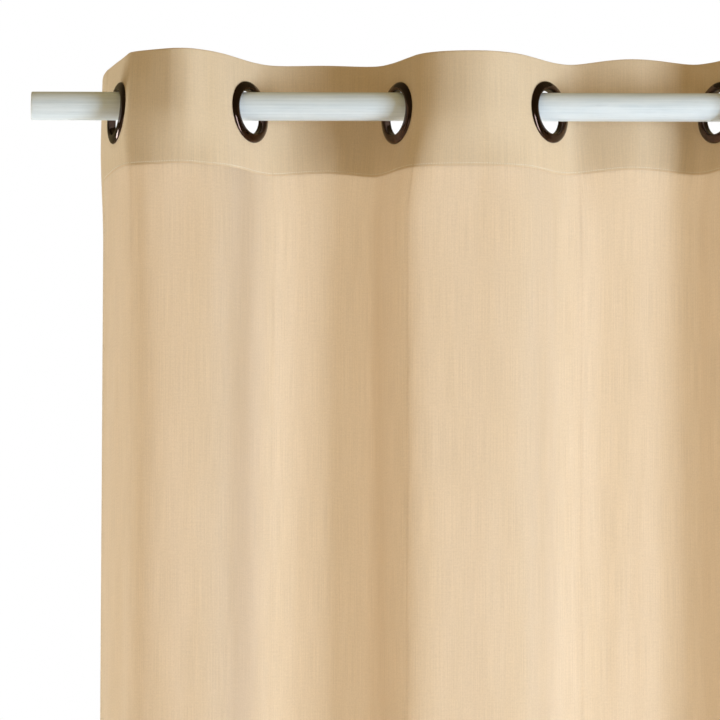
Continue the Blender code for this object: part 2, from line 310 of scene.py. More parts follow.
def between(at_eyelets, at_crests, at_edges):
    """A value for each column, easing from eyelet to crest to eyelet."""
    known = [0] + [c + d for c in eyelet_column for d in (0, HALF_COLUMNS)][:-1] + [COLUMNS - 1]
    values = [at_edges[0]]
    for index in range(PLEATS):
        values.append(at_eyelets[index])
        if index < PLEATS - 1:
            values.append(at_crests[index])
    values.append(at_edges[1])
    made = np.zeros(COLUMNS)
    for (a, x), (b, y) in zip(zip(known, values), zip(known[1:], values[1:])):
        made[a:b + 1] = x + (y - x) * fade(np.arange(a, b + 1), a, b)
    return made


top_edge = between(TOP_AT_EYELETS, TOP_AT_CRESTS, (TOP_AT_EYELETS[0], TOP_AT_EYELETS[-1])) * MM
from_left, from_right = along_cloth, CLOTH_WIDTH - along_cloth
for gone in (from_left, from_right):
    top_edge -= CORNER_DROOP * np.clip(1 - gone / EDGE_FLAP, 0, 1) ** DROOP_POWER
near_eyelet = between([1] * PLEATS, [0] * (PLEATS - 1), (1, 1))
lean_way = np.zeros((COLUMNS, 2))
middle_row = np.zeros(COLUMNS)
for index in range(PLEATS):
    first = 0 if index == 0 else eyelet_column[index] - HALF_COLUMNS
    last = COLUMNS - 1 if index == PLEATS - 1 else eyelet_column[index] + HALF_COLUMNS
    way = facing_room(slant_of(index, SLANTS[index])) * math.tan(math.radians(LEANS[index]))
    lean_way[first:last + 1] = way
    middle_row[first:last + 1] = TOP_AT_EYELETS[index] * MM + DROPS[index] * MM
lean_way *= between([1] * PLEATS, [0] * (PLEATS - 1), (EDGE_LEAN, EDGE_LEAN))[:, None]

# %% Hang the sheet
EYELET_ROW = 52 * MM  # about where the eyelets' middles are, down from the top edge
STIFF_TO = 80 * MM  # the heading leans as one stiff plane down to here
UPRIGHT_FROM = 420 * MM  # the lean has gone by here
TIGHTEST, SLACK_FROM = 104 * MM, 300 * MM  # under the eyelets the crests are drawn in, then let out again
FLARE, DRAWN_IN = 0.05, 0.14
in_panel = fade(rows, 60 * MM, 170 * MM)
sheet = np.zeros((COLUMNS, ROWS, 3))
flare = FLARE * np.clip((EYELET_ROW - rows) / EYELET_ROW, -0.4, 1)
flare -= DRAWN_IN * fade(rows, EYELET_ROW, TIGHTEST) * (1 - fade(rows, TIGHTEST, SLACK_FROM))
for row in range(ROWS):
    line = heading_line * (1 - in_panel[row]) + panel_line * in_panel[row]
    line[:, 1] *= 1 + flare[row] * (1 - near_eyelet)
    leaning = (np.minimum(rows[row], STIFF_TO) - middle_row) * (1 - fade(rows[row], STIFF_TO, UPRIGHT_FROM))
    sheet[:, row, :2] = line + lean_way * leaning[:, None]

sheet[:, :, 0] += 5 * MM * wander(0.34, 1.3, 3.1) * fade(rows, 0.25, 1.2)
sheet[:, :, 1] += 4 * MM * wander(0.25, 1.6, 8.7) * fade(rows, 0.2, 1.0)
stride = np.linalg.norm(np.diff(sheet[:, :, :2], axis=1), axis=2)
drop = np.sqrt(np.maximum(np.diff(rows)[None, :] ** 2 - stride**2, (0.85 * np.diff(rows)[None, :]) ** 2))
sheet[:, 0, 2] = top_edge
sheet[:, 1:, 2] = top_edge[:, None] - np.cumsum(drop, axis=1)
sheet[:, :, 1] = POLE_Y - sheet[:, :, 1]
print("hem between", [round(float(z), 3) for z in (sheet[:, -1, 2].min(), sheet[:, -1, 2].max())])


# %% Which way the cloth faces
def normals_of(points):
    across = np.gradient(points, axis=0)
    down = np.gradient(points, axis=1)
    facing = np.cross(down, across)
    return facing / np.maximum(np.linalg.norm(facing, axis=2, keepdims=True), 1e-12)


# %% [markdown]
# ## Small folds, and the flat discs in the eyelets
#
# Real cotton is never a clean wave. Soft ripples a few centimetres wide run down the panel, and the stiff
# heading has short dents between the eyelets. They are added along the cloth's own normal, as smooth noise
# stretched in the way the cloth hangs. The disc that an eyelet clamps is pressed flat again afterwards.

# %% Ripples and dents
ripple = 1.5 * MM * wander(0.040, 1.1, 1.7) + 0.7 * MM * wander(0.021, 0.55, 5.2)
ripple += 2.6 * MM * wander(0.085, 1.7, 2.9)
ripple *= (0.25 + 0.75 * fade(rows, HEADING, 0.34)) * fade(rows, 0.085, 0.125)
dents = 0.9 * MM * wander(0.026, 0.085, 4.4) + 0.45 * MM * wander(0.013, 0.05, 6.1)
dents *= (1 - fade(rows, 0.095, 0.13)) * fade(rows, 0.0, 0.02)
sheet += normals_of(sheet) * (ripple + dents)[:, :, None]


# %% Eyelet places and planes
def eyelet_matrix(index):
    """Local Z comes out of the eyelet towards the room, leaning with the heading."""
    side = facing_room(slant_of(index, SLANTS[index]))
    lean = math.radians(LEANS[index])
    axis = Vector((side[0] * math.cos(lean), -side[1] * math.cos(lean), math.sin(lean)))
    x, out = eyelet_middle(index)
    place = Matrix.Translation((x, POLE_Y - out, -DROPS[index] * MM))
    return place @ axis.to_track_quat("Z", "Y").to_matrix().to_4x4()


def eyelet_plane(index):
    """The middle of an eyelet and the way it faces, as arrays."""
    matrix = eyelet_matrix(index)
    return np.array(matrix.translation), np.array(matrix.col[2][:3])


PRESS_REACH = 13  # columns to each side of an eyelet that its press can touch
PRESSED_TO, FREE_FROM = 32 * MM, 47 * MM  # from the eyelet's axis
for index in range(PLEATS):
    middle, axis = eyelet_plane(index)
    near = slice(max(eyelet_column[index] - PRESS_REACH, 0), eyelet_column[index] + PRESS_REACH + 1)
    offset = sheet[near] - middle
    height = offset @ axis
    radius = np.linalg.norm(offset - height[:, :, None] * axis, axis=2)
    flat = 1 - fade(radius, PRESSED_TO, FREE_FROM)
    sheet[near] -= (flat * height)[:, :, None] * axis
    most = float(np.abs(height[radius < EYELET_FLAT]).max())
    print(f"eyelet {index + 1}: pressed flat, {1000 * most:.1f} mm at most")
facing = normals_of(sheet)

# %% [markdown]
# ## Thickness, folds over the edges, and the pieces
#
# The panel is one layer of cotton. The heading is thicker: the cloth is folded over the top edge onto a
# stiff band and comes down again behind it, so the back shows a folded edge. The hems are turned double. So
# each face of the cloth is the sheet moved out by its own thickness there, with a rounded nose at each fold.
# A Solidify modifier could thicken it evenly, but not with these steps. The cloth is then cut beside the
# eyelets into eight drops, one for each pleat.

# %% How far each face lies from the sheet
CLOTH = 0.6 * MM
HEADING_THICK = 2.2 * MM
HEM_EXTRA = 0.9 * MM
NOSE = 1.0 * MM


def nose(gone):
    """0.12 at the very edge, rounding to 1 a little way in."""
    inside = np.clip(1 - gone / NOSE, 0, 1)
    return np.maximum(np.sqrt(1 - inside**2), 0.12)


edge_gone = np.minimum(from_left, from_right)
behind = np.full((COLUMNS, ROWS), CLOTH / 2)
behind += (HEADING_THICK - CLOTH) * (1 - fade(rows, HEADING, HEADING + FOLD_STEP))
behind += HEM_EXTRA * fade(rows, LENGTH - BOTTOM_HEM, LENGTH - BOTTOM_HEM + FOLD_STEP)
behind += HEM_EXTRA * (1 - fade(edge_gone, SIDE_HEM, SIDE_HEM + FOLD_STEP))[:, None]
ahead = np.full((COLUMNS, ROWS), CLOTH / 2)
SEAMS = [(HEADING_STITCH, 0.22 * MM), (BOTTOM_STITCH, 0.2 * MM)]  # (how far down, how deep pulled in)
GROOVE = 0.9 * MM
for place, depth in SEAMS:
    groove = depth * np.exp(-(((rows - place) / GROOVE) ** 2))
    ahead -= groove
    behind -= groove
rounding = np.minimum(nose(edge_gone)[:, None], np.minimum(nose(rows), nose(LENGTH - rows)))
centre, half = (ahead - behind) / 2, (ahead + behind) / 2 * rounding

# %% Holes for the eyelets
CLOTH_HOLE = 25.5 * MM
kept = np.ones((COLUMNS - 1, ROWS - 1), bool)
for index in range(PLEATS):
    middle, axis = eyelet_plane(index)
    a, b = max(eyelet_column[index] - PRESS_REACH + 1, 0), eyelet_column[index] + PRESS_REACH
    cells = (sheet[a:b, :-1] + sheet[a + 1:b + 1, :-1] + sheet[a:b, 1:] + sheet[a + 1:b + 1, 1:]) / 4
    gone = np.linalg.norm(cells - middle, axis=2) < CLOTH_HOLE
    kept[a:b] &= ~gone
    touched = np.zeros((b - a + 1, ROWS), bool)
    for i, j in np.argwhere(gone):
        touched[i:i + 2, j:j + 2] = True
    for i, j in np.argwhere(touched):
        offset = sheet[a + i, j] - middle
        offset -= (offset @ axis) * axis
        sheet[a + i, j] = middle + offset / max(np.linalg.norm(offset), 1e-9) * CLOTH_HOLE
        facing[a + i, j] = axis
front = sheet + facing * (centre + half)[:, :, None]
back = sheet + facing * (centre - half)[:, :, None]
print(int((~kept).sum()), "cells cut out for the eyelets")


# %% One drop of cloth from the grid
def part_faces(first, last):
    """Front, back and rim faces of a range of columns. Points are numbered front first, then back."""
    here = kept[first:last]
    wide, total = last - first + 1, (last - first + 1) * ROWS

    def number(i, j):
        return i * ROWS + j

    faces = []
    for i, j in np.argwhere(here):
        a, b, c, d = number(i, j), number(i, j + 1), number(i + 1, j + 1), number(i + 1, j)
        faces.append((a, b, c, d))
        faces.append((a + total, d + total, c + total, b + total))
    padded = np.zeros((wide + 1, ROWS + 1), bool)
    padded[1:-1, 1:-1] = here
    for i, j in np.argwhere(here):
        sides = (
            (padded[i, j + 1], (i, j + 1), (i, j)),
            (padded[i + 2, j + 1], (i + 1, j), (i + 1, j + 1)),
            (padded[i + 1, j], (i, j), (i + 1, j)),
            (padded[i + 1, j + 2], (i + 1, j + 1), (i, j + 1)),
        )
        for covered, start, end in sides:
            if not covered:
                a, b = number(*start), number(*end)
                faces.append((a, b, b + total, a + total))
    return faces, total


def smooth(mesh):
    mesh.polygons.foreach_set("use_smooth", np.ones(len(mesh.polygons), bool))


def new_mesh(name, points, faces):
    mesh = bpy.data.meshes.new(name)
    mesh.from_pydata(points, [], faces)
    return mesh


def put_in_scene(name, mesh, material):
    mesh.materials.append(material)
    made = bpy.data.objects.new(name, mesh)
    scene.collection.objects.link(made)
    return made


def set_uv(mesh, uv_of_point):
    layer = mesh.uv_layers.new(name="cloth")
    corner = np.zeros(len(mesh.loops), int)
    mesh.loops.foreach_get("vertex_index", corner)
    layer.data.foreach_set("uv", uv_of_point[corner].astype(np.float32).ravel())


def mark_sharp(mesh, degrees):
    shape = bmesh.new()
    shape.from_mesh(mesh)
    for edge in shape.edges:
        if len(edge.link_faces) == 2 and edge.calc_face_angle(0) > math.radians(degrees):
            edge.smooth = False
    shape.to_mesh(mesh)
    shape.free()


def drop_of_cloth(name, first, last, material):
    faces, total = part_faces(first, last)
    here = slice(first, last + 1)
    points = np.concatenate([front[here].reshape(-1, 3), back[here].reshape(-1, 3)])
    outward = np.concatenate([facing[here].reshape(-1, 3), -facing[here].reshape(-1, 3)])
    uv = np.stack(np.meshgrid(along_cloth[here], rows, indexing="ij"), axis=2).reshape(-1, 2)
    uv = np.concatenate([uv, uv])
    used = np.unique(np.array(faces))
    renumber = np.full(2 * total, -1)
    renumber[used] = np.arange(len(used))
    mesh = new_mesh(name, points[used].tolist(), [tuple(renumber[list(face)]) for face in faces])
    set_uv(mesh, uv[used])
    smooth(mesh)
    mark_sharp(mesh, 50)
    match_normals(mesh, outward[used], first + used % total // ROWS, (first, last))
    return put_in_scene(name, mesh, material)


def match_normals(mesh, outward, column, ends):
    """At a cut between two drops both sides take the whole sheet's normal, so that no line shows."""
    at_cut = np.isin(column, ends) & (column > 0) & (column < COLUMNS - 1)
    wanted = [(0.0, 0.0, 0.0)] * len(mesh.loops)
    for polygon in mesh.polygons:
        normal = np.array(polygon.normal)
        for loop in polygon.loop_indices:
            point = mesh.loops[loop].vertex_index
            if at_cut[point] and outward[point] @ normal > 0.6:
                wanted[loop] = tuple(outward[point])
    mesh.normals_split_custom_set(wanted)

# %% [markdown]
# ## The cotton
#
# Plain-woven cotton of this weight is matt, a little see-through against the light, and never even: some
# threads are thicker (slubs), the dye takes a little more here and there, and where the cloth is doubled it
# looks denser. An image could hold all that, but node patterns stay sharp at any distance. They are laid out
# in the cloth's own metres (its UVs), so threads follow the folds and doubled places can be found by their
# distance from an edge. Light comes through by mixing in a Translucent shader.


# %% Small helpers for node trees
def new_material(name):
    """A material with its nodes, links, Principled shader and output."""
    material = bpy.data.materials.new(name)
    material.use_nodes = True
    tree = material.node_tree
    return material, tree, tree.nodes["Principled BSDF"]


def add_node(tree, kind, inputs=None, **settings):
    node = tree.nodes.new(kind)
    for key, value in settings.items():
        setattr(node, key, value)
    set_inputs(tree, node, inputs or {})
    return node


def plug(tree, value, socket):
    """Puts a number, a colour or another node's output into a socket."""
    if isinstance(value, (int, float)):
        socket.default_value = value
    elif isinstance(value, tuple):
        socket.default_value = (*value, 1.0)
    else:
        tree.links.new(value, socket)


def set_inputs(tree, node, values):
    for name, value in values.items():
        plug(tree, value, node.inputs[name])


def object_place(tree):
    return add_node(tree, "ShaderNodeTexCoord").outputs["Object"]


def maths(tree, operation, *values):
    """A Math node. Each value is a number or another node's output."""
    node = add_node(tree, "ShaderNodeMath", operation=operation)
    for socket, value in zip(node.inputs, values):
        plug(tree, value, socket)
    return node.outputs[0]


def stretched_noise(tree, place, sizes, detail=2.0, roughness=0.5, distortion=0.0):
    """Noise of about 0 to 1, with patches of these sizes in mm along each axis."""
    mapping = add_node(tree, "ShaderNodeMapping")
    mapping.inputs["Scale"].default_value = [1 / (size * MM) for size in sizes]
    tree.links.new(place, mapping.inputs["Vector"])
    values = {"Vector": mapping.outputs[0], "Scale": 1.0, "Detail": detail}
    values.update({"Roughness": roughness, "Distortion": distortion})
    return add_node(tree, "ShaderNodeTexNoise", values).outputs["Fac"]


def mixed_colour(tree, factor, a, b, blend="MIX"):
    """Two colours mixed. Each is a tuple or another node's output."""
    node = add_node(tree, "ShaderNodeMix", data_type="RGBA", blend_type=blend)
    set_inputs(tree, node, {"Factor": factor, "A": a, "B": b})
    return node.outputs["Result"]


def remap(tree, value, low, high, to_low=0.0, to_high=1.0):
    values = {"Value": value, "From Min": low, "From Max": high, "To Min": to_low, "To Max": to_high}
    node = add_node(tree, "ShaderNodeMapRange", clamp=True, interpolation_type="SMOOTHSTEP")
    set_inputs(tree, node, values)
    return node.outputs["Result"]


def bump(tree, height, distance, strength):
    values = {"Height": height, "Distance": distance, "Strength": strength}
    return add_node(tree, "ShaderNodeBump", values).outputs[0]


# %% Sand-coloured cotton
SAND_LIGHT = (0.705, 0.602, 0.480)
SAND_DEEP = (0.672, 0.560, 0.420)
SAND_DOUBLED = (0.820, 0.620, 0.385)
LIGHT_THROUGH = (0.93, 0.84, 0.72)
SHARE_THROUGH, SHARE_DOUBLED = 0.46, 0.12  # how much light goes through one layer, and where it is doubled
THREAD_PITCH = 0.85 * MM


def cotton_material():
    material, tree, shader = new_material("woven_sand_cotton")
    link = tree.links.new
    uv = add_node(tree, "ShaderNodeUVMap", uv_map="cloth").outputs[0]
    apart = add_node(tree, "ShaderNodeSeparateXYZ")
    link(uv, apart.inputs[0])
    across, down = apart.outputs[0], apart.outputs[1]

    slubs = stretched_noise(tree, uv, (14, 0.9, 1000), detail=2)
    warp = stretched_noise(tree, uv, (0.8, 70, 1000), detail=3)
    clouds = stretched_noise(tree, uv, (35, 400, 1000), detail=4, roughness=0.6)
    speckle = stretched_noise(tree, uv, (1.6, 2.2, 1000), detail=3, roughness=0.65)

    over = maths(tree, "SINE", maths(tree, "MULTIPLY", across, math.tau / THREAD_PITCH))
    under = maths(tree, "SINE", maths(tree, "MULTIPLY", down, math.tau / THREAD_PITCH))
    weave = maths(tree, "MULTIPLY", over, under)
    height = maths(tree, "MULTIPLY_ADD", weave, 0.25, maths(tree, "MULTIPLY_ADD", slubs, 0.9, speckle))

    from_side = maths(tree, "MINIMUM", across, maths(tree, "SUBTRACT", CLOTH_WIDTH, across))
    side_hem = maths(tree, "LESS_THAN", from_side, SIDE_HEM)
    heading = maths(tree, "LESS_THAN", down, HEADING)
    bottom_hem = maths(tree, "GREATER_THAN", down, LENGTH - BOTTOM_HEM)
    doubled = maths(tree, "MAXIMUM", maths(tree, "MAXIMUM", side_hem, heading), bottom_hem)

    colour = mixed_colour(tree, remap(tree, clouds, 0.32, 0.68), SAND_LIGHT, SAND_DEEP)
    tone = remap(tree, warp, 0.3, 0.7, 0.955, 1.03)
    tone = maths(tree, "MULTIPLY", tone, remap(tree, slubs, 0.3, 0.7, 0.983, 1.015))
    tone = maths(tree, "MULTIPLY", tone, remap(tree, speckle, 0.3, 0.7, 0.965, 1.03))
    grey = add_node(tree, "ShaderNodeCombineColor")
    for socket in grey.inputs:
        link(tone, socket)
    colour = mixed_colour(tree, maths(tree, "MULTIPLY", doubled, 0.55), colour, SAND_DOUBLED)
    colour = mixed_colour(tree, 1.0, colour, grey.outputs[0], blend="MULTIPLY")
    set_inputs(tree, shader, {
        "Base Color": colour, "Normal": bump(tree, height, 0.10 * MM, 0.6), "Roughness": 0.85,
        "Specular IOR Level": 0.25, "Sheen Weight": 0.12, "Sheen Roughness": 0.5,
    })

    glow = mixed_colour(tree, 1.0, LIGHT_THROUGH, grey.outputs[0], blend="MULTIPLY")
    through = add_node(tree, "ShaderNodeBsdfTranslucent", {"Color": glow})
    share = remap(tree, doubled, 0.0, 1.0, SHARE_THROUGH, SHARE_DOUBLED)
    mix = add_node(tree, "ShaderNodeMixShader")
    for socket, value in zip(mix.inputs, (share, shader.outputs[0], through.outputs[0])):
        link(value, socket)
    link(mix.outputs[0], tree.nodes["Material Output"].inputs["Surface"])
    return material


cotton = cotton_material()
print("cotton:", len(cotton.node_tree.nodes), "nodes")

# %% [markdown]
# ## Eight drops of one panel
#
# The real panel is one length of cloth. Here it is made as eight, cut a little to the right of each eyelet
# but the last, because each pleat turns on its own joint. The first rides on its pleat. Each of the others
# reaches across the crest between two pleats, but only has its place baked into its mesh and is not moved
# or bent with them. Every one stands for its pleat's solids: the hanging cloth, the heading and the facing.

# %% Cut, ride and bake
CUT_AFTER = 8  # columns to the right of an eyelet
CUTS = [0] + [column + CUT_AFTER for column in eyelet_column[:-1]] + [COLUMNS - 1]


def follow(piece, index):
    """Attaches the first piece to its pleat. Any other piece only has its place baked into its mesh."""
    body = f"pleat_{index + 1}"
    if index == 0:
        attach(piece, body)
        return
    right = eyelet_x[index] - EYELET_FLAT * math.cos(math.radians(SLANTS[index])) - 2 * MM
    if index < PLEATS - 1:
        right = min(float(sheet[CUTS[index + 1], :, 0].min()), right) - MM
    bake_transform(piece)


drops = []
for index in range(PLEATS):
    drop_piece = drop_of_cloth(f"cotton_drop_{index + 1}", CUTS[index], CUTS[index + 1], cotton)
    follow(drop_piece, index)
    number = index + 1
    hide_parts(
        f"curtain_panel_{number}", f"heading_cloth_{number}", f"heading_facing_{number}"
    )
    drops.append(drop_piece)
    wide = along_cloth[CUTS[index + 1]] - along_cloth[CUTS[index]]
    print(f"{drop_piece.name}: {1000 * wide:.0f} mm wide, {len(drop_piece.data.polygons)} faces")

# %% [markdown]
# ## Stitching
#
# A machine seam shows as short raised threads with a small gap where the needle goes in. Three seams can be
# seen: one just above the heading's lower fold, one over the bottom hem, and one down each side hem. A bump
# line in the material would vanish at the outline, so each stitch is a small, long bead of its own, laid on
# the cloth's front and back.


# %% Places on the cloth
def surface_at(grid, u, v):
    """The point of a face of the cloth at a distance along it and down it."""
    i = float(np.interp(u, along_cloth, np.arange(COLUMNS)))
    j = float(np.interp(v, rows, np.arange(ROWS)))
    i0, j0 = min(int(i), COLUMNS - 2), min(int(j), ROWS - 2)
    a, b = i - i0, j - j0
    top = grid[i0, j0] * (1 - a) + grid[i0 + 1, j0] * a
    low = grid[i0, j0 + 1] * (1 - a) + grid[i0 + 1, j0 + 1] * a
    return top * (1 - b) + low * b


STITCH_SIDES = 6
BEAD_POINTS = 2 + 2 * STITCH_SIDES
BEAD_SHAPE = [(-0.5, 0.0), (-0.3, 0.85), (0.3, 0.85), (0.5, 0.0)]  # (share of length, share of half width)


def bead(points, faces, place, along, out, size):
    """A stitch: a long bead along the seam, half sunk in the cloth. size is (length, width, height)."""
    side = np.cross(out, along)
    first = len(points)
    points.append(place + along * BEAD_SHAPE[0][0] * size[0])
    for share, thick in BEAD_SHAPE[1:3]:
        for step in range(STITCH_SIDES):
            turn = math.tau * step / STITCH_SIDES
            round_it = side * math.cos(turn) * size[1] / 2 + out * math.sin(turn) * size[2]
            points.append(place + along * share * size[0] + round_it * thick)
    points.append(place + along * BEAD_SHAPE[3][0] * size[0])
    last = first + BEAD_POINTS - 1
    for step in range(STITCH_SIDES):
        a, b = first + 1 + step, first + 1 + (step + 1) % STITCH_SIDES
        c, d = a + STITCH_SIDES, b + STITCH_SIDES
        faces.append((first, b, a))
        faces.append((a, b, d, c))
        faces.append((c, d, last))


def seam_path(grid, start, end, pitch):
    """Middles and directions of stitches from one place on the cloth (u, v) to another."""
    start, end = np.array(start), np.array(end)
    length = float(np.linalg.norm(end - start))
    count = max(int(length / pitch), 1)
    shares = (np.arange(count) + 0.5) / count
    way = (end - start) / length * 0.5 * MM
    found = []
    for share in shares:
        u, v = start + (end - start) * share
        place = surface_at(grid, u, v)
        along = surface_at(grid, u + way[0], v + way[1]) - surface_at(grid, u - way[0], v - way[1])
        found.append((u, v, place, along / np.linalg.norm(along)))
    return found


# %% Cotton thread
def thread_material():
    material, tree, shader = new_material("cream_sewing_thread")
    twist = stretched_noise(tree, object_place(tree), (0.5, 0.5, 0.5), detail=1)
    colour = mixed_colour(tree, twist, (0.84, 0.74, 0.60), (0.95, 0.88, 0.77))
    set_inputs(tree, shader, {
        "Base Color": colour, "Normal": bump(tree, twist, 0.05 * MM, 0.6),
        "Roughness": 0.62, "Sheen Weight": 0.25,
    })
    return material


thread = thread_material()
HEADING_PITCH, SIDE_PITCH = 2.5 * MM, 3.2 * MM
HEADING_BEAD = (1.8 * MM, 0.80 * MM, 0.42 * MM)
SIDE_BEAD = (2.3 * MM, 0.5 * MM, 0.26 * MM)
SIDE_STITCH = SIDE_HEM - 1.6 * MM

# %% Sew the seams of each drop
def seams_of(index):
    """(start, end, pitch, size) of each seam on one drop, in distances along and down the cloth."""
    left, right = along_cloth[CUTS[index]] + MM, along_cloth[CUTS[index + 1]] - MM
    left += SIDE_STITCH if index == 0 else 0
    right -= SIDE_STITCH if index == PLEATS - 1 else 0
    seams = [
        ((left, HEADING_STITCH), (right, HEADING_STITCH), HEADING_PITCH, HEADING_BEAD),
        ((left, BOTTOM_STITCH), (right, BOTTOM_STITCH), HEADING_PITCH, HEADING_BEAD),
    ]
    if index in (0, PLEATS - 1):
        u = SIDE_STITCH if index == 0 else CLOTH_WIDTH - SIDE_STITCH
        seams.append(((u, HEADING + 2 * MM), (u, LENGTH - MM), SIDE_PITCH, SIDE_BEAD))
    return seams


def stitching(index):
    points, faces = [], []
    for start, end, pitch, size in seams_of(index):
        for grid, sign in ((front, 1), (back, -1)):
            for u, v, place, along in seam_path(grid, start, end, pitch):
                out = surface_at(facing, u, v) * sign
                out -= along * (out @ along)
                out /= np.linalg.norm(out)
                bead(points, faces, place, along, out, size)
    mesh = new_mesh(f"stitching_{index + 1}", points, faces)
    smooth(mesh)
    return put_in_scene(mesh.name, mesh, thread)


stitchings = [stitching(index) for index in range(PLEATS)]
for index, made in enumerate(stitchings):
    follow(made, index)
print(sum(len(made.data.vertices) for made in stitchings) // BEAD_POINTS, "stitches")

# %% [markdown]
# ## The eyelets
#
# Each eyelet is two pressed metal shells: a front with a domed flange and a barrel, and a ring that snaps
# onto the barrel behind the cloth. Both are turned shapes, so a profile is spun round the axis. Cutting the
# corners of a few profile points twice gives the soft edges of a pressing. A torus would miss the flange's
# sloping face and the barrel that the pole passes through.


# %% Turned pieces
def soften(profile, times=2):
    """Cuts each corner of a closed profile, which rounds it."""
    points = np.array(profile, float)
    for _ in range(times):
        after = np.roll(points, -1, axis=0)
        pairs = [points * 0.75 + after * 0.25, points * 0.25 + after * 0.75]
        points = np.stack(pairs, axis=1).reshape(-1, 2)
    return points


def turned(name, profile, material, place, segments=96):
    """A closed profile of (radius, height) in mm, spun round local Z."""
    shape = bmesh.new()
    ring = [shape.verts.new((radius * MM, 0, height * MM)) for radius, height in profile]
    edges = [shape.edges.new(pair) for pair in zip(ring, ring[1:] + ring[:1])]
    bmesh.ops.spin(
        shape, geom=ring + edges, cent=(0, 0, 0), axis=(0, 0, 1), angle=math.tau, steps=segments,
        use_duplicate=False
    )
    bmesh.ops.remove_doubles(shape, verts=shape.verts, dist=1e-6)
    bmesh.ops.recalc_face_normals(shape, faces=shape.faces)
    mesh = bpy.data.meshes.new(name)
    shape.to_mesh(mesh)
    shape.free()
    smooth(mesh)
    made = put_in_scene(name, mesh, material)
    made.matrix_world = place
    return made


# %% Polished dark bronze
def bronze_material():
    material, tree, shader = new_material("polished_dark_bronze")
    place = object_place(tree)
    patches = stretched_noise(tree, place, (9, 9, 6), detail=4, roughness=0.6)
    scratches = stretched_noise(tree, place, (0.5, 6, 0.5), detail=3, roughness=0.7)
    patched = remap(tree, patches, 0.3, 0.7)
    colour = mixed_colour(tree, patched, (0.036, 0.016, 0.010), (0.062, 0.029, 0.018))
    rough = remap(tree, patches, 0.3, 0.75, 0.10, 0.16)
    rough = maths(tree, "ADD", rough, remap(tree, scratches, 0.5, 0.8, 0, 0.08))
    set_inputs(tree, shader, {
        "Base Color": colour, "Roughness": rough, "Normal": bump(tree, scratches, 0.01 * MM, 0.35),
        "Metallic": 1.0, "Coat Weight": 0.45, "Coat Roughness": 0.08,
    })
    return material


bronze = bronze_material()

# %% Fronts and back rings
FRONT_PROFILE = [  # (radius, height over the cloth's middle), mm
    (21.5, 2.0), (21.9, 3.2), (22.8, 3.9), (24.3, 4.0), (26.4, 3.6), (28.5, 2.9), (30.2, 1.8), (30.7, 0.45),
    (30.0, 0.40), (27.0, 0.45), (23.1, 0.5), (23.1, -3.2), (25.7, -3.2), (26.0, -3.7), (25.0, -4.2),
    (22.2, -4.2), (21.5, -3.6), (21.5, 0.0),
]
BACK_PROFILE = [(23.4, -1.95), (30.0, -1.95), (30.3, -2.3), (29.6, -2.8), (27.5, -3.05), (23.4, -3.0)]
for index in range(PLEATS):
    for side_name, profile in (("front", FRONT_PROFILE), ("back", BACK_PROFILE)):
        number = index + 1
        made = turned(f"eyelet_{side_name}_ring_{number}", soften(profile), bronze, eyelet_matrix(index))
        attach(made, f"pleat_{number}")
        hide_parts(f"eyelet_{side_name}_{number}")
print("eyelet front:", len(made.data.vertices), "points in the last ring")

# %% [markdown]
# ## The pole
#
# The pole is a round wooden rod, rubbed with thin white wash so that the open grain shows through as fine
# grey lines, and sawn off square at each end. It is spun from rings along its length, with edges eased by
# sandpaper and a grain that is really cut in, by a tenth of a millimetre. A plain cylinder would give a
# dead straight highlight, which planed wood never has.

# %% White-washed wood
def limed_wood_material():
    material, tree, shader = new_material("white_washed_wood")
    place = object_place(tree)
    grain = stretched_noise(tree, place, (160, 2.0, 2.0), detail=5, roughness=0.65, distortion=0.3)
    pores = stretched_noise(tree, place, (16, 0.7, 0.7), detail=2, roughness=0.6)
    wash = stretched_noise(tree, place, (45, 9, 9), detail=4, roughness=0.6)
    nicks = stretched_noise(tree, place, (2.6, 1.0, 1.0), detail=2, roughness=0.7)
    colour = (0.760, 0.840, 0.900)
    for pattern, low, high, most, tint in (
        (grain, 0.36, 0.66, 1, (0.660, 0.740, 0.800)),
        (wash, 0.35, 0.70, 0.55, (0.820, 0.880, 0.920)),
        (pores, 0.62, 0.80, 0.40, (0.530, 0.590, 0.625)),
        (nicks, 0.74, 0.84, 0.35, (0.560, 0.520, 0.450)),
    ):
        colour = mixed_colour(tree, remap(tree, pattern, low, high, 0, most), colour, tint)

    surface = add_node(tree, "ShaderNodeNewGeometry").outputs["True Normal"]
    ends = add_node(tree, "ShaderNodeSeparateXYZ", {"Vector": surface})
    sawn = remap(tree, maths(tree, "ABSOLUTE", ends.outputs[0]), 0.75, 0.95)
    off_centre = add_node(tree, "ShaderNodeMapping", {"Vector": place})
    off_centre.inputs["Location"].default_value = (0, -POLE_Y + 17 * MM, 12 * MM)
    rings = add_node(tree, "ShaderNodeTexWave", wave_type="RINGS", rings_direction="X", wave_profile="SAW")
    set_inputs(tree, rings, {
        "Vector": off_centre.outputs[0], "Scale": 110.0, "Distortion": 2.5, "Detail Scale": 1.5,
    })
    end_grain = mixed_colour(tree, rings.outputs["Fac"], (0.800, 0.790, 0.740), (0.600, 0.570, 0.500))

    height = maths(tree, "SUBTRACT", maths(tree, "MULTIPLY_ADD", pores, -0.6, wash), grain)
    set_inputs(tree, shader, {
        "Base Color": mixed_colour(tree, sawn, colour, end_grain), "Specular IOR Level": 0.40,
        "Normal": bump(tree, height, 0.10 * MM, 0.45),
        "Roughness": remap(tree, grain, 0.3, 0.7, 0.42, 0.60),
    })
    return material


limed_wood = limed_wood_material()

# %% Spin the pole
pole_low, pole_high = (np.array(corner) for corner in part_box("pole"))
POLE_RADIUS = (pole_high[2] - pole_low[2]) / 2
POLE_AROUND = 96
RING_STEP = 6 * MM
EASED = 1.2 * MM


